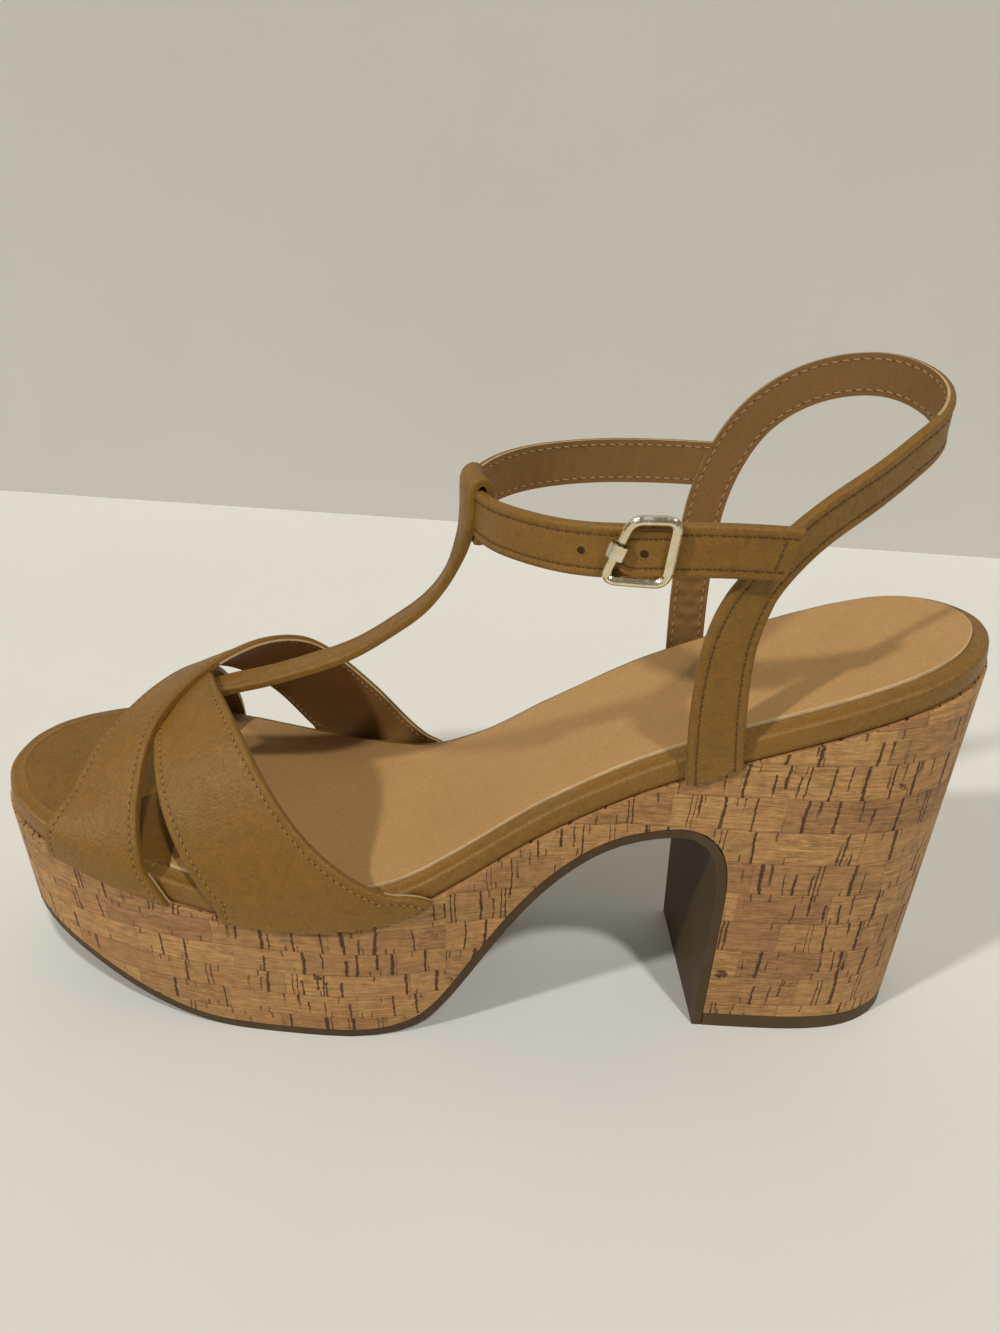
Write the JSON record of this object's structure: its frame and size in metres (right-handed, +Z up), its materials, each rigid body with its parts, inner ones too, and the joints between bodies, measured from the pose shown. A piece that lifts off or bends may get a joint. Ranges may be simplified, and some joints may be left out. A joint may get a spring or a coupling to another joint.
{
  "type": "platform sandal",
  "caption": "Left platform sandal with a block heel, cork-covered sole, crossed vamp straps and a T-strap to a buckled ankle strap with an open sling heel.",
  "frame": {"origin": "on the floor, under the middle of the whole sandal's box", "axes": "+Z up, -X towards the toe, +X towards the heel, -Y towards the outer side of this left shoe"},
  "size_m": [0.241, 0.0838, 0.1636],
  "materials": {
    "cork": "matt cork sheet",
    "outsole_rubber": "matt, brown",
    "rand_leather": "satin caramel",
    "sock_leather": "smooth, tan-pink",
    "upper_leather": "satin caramel, fine grain",
    "buckle_metal": "pale gold, polished"
  },
  "bodies": {
    "root": {"cork_platform": "cork", "outsole": "outsole_rubber", "heel_top_lift": "outsole_rubber", "footbed_rand": "rand_leather", "insole_sock": "sock_leather", "vamp_and_t_strap": "upper_leather", "heel_and_ankle_strap": "upper_leather", "buckle_frame": "buckle_metal", "buckle_prong": "buckle_metal"}
  },
  "joints": []
}
